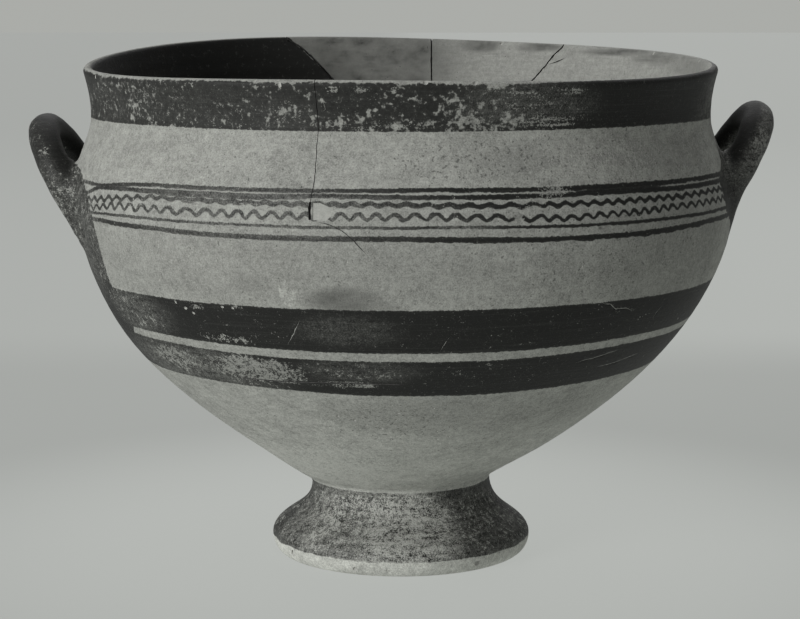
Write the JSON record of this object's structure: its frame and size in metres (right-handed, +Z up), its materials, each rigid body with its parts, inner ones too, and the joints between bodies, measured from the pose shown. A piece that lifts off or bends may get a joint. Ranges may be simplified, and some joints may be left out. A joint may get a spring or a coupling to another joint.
{
  "type": "two-handled pottery bowl",
  "caption": "Deep open pottery bowl with upswept loop handles at the sides, a turned-out lip and a flaring hollow foot, painted with dark bands and wavy lines.",
  "frame": {"origin": "on the bowl's axis, in the plane that its foot stands on", "axes": "+Z up along the bowl's axis; +X towards the right handle as seen from the front; the front faces -Y"},
  "size_m": [0.429, 0.376, 0.2989],
  "materials": {
    "fired_clay": "fired clay, not plastic: smoothed buff clay with dark matt painted bands, wavy lines, handles and foot, worn, flaked and cracked"
  },
  "bodies": {
    "root": {"bowl": "fired_clay"}
  },
  "joints": []
}
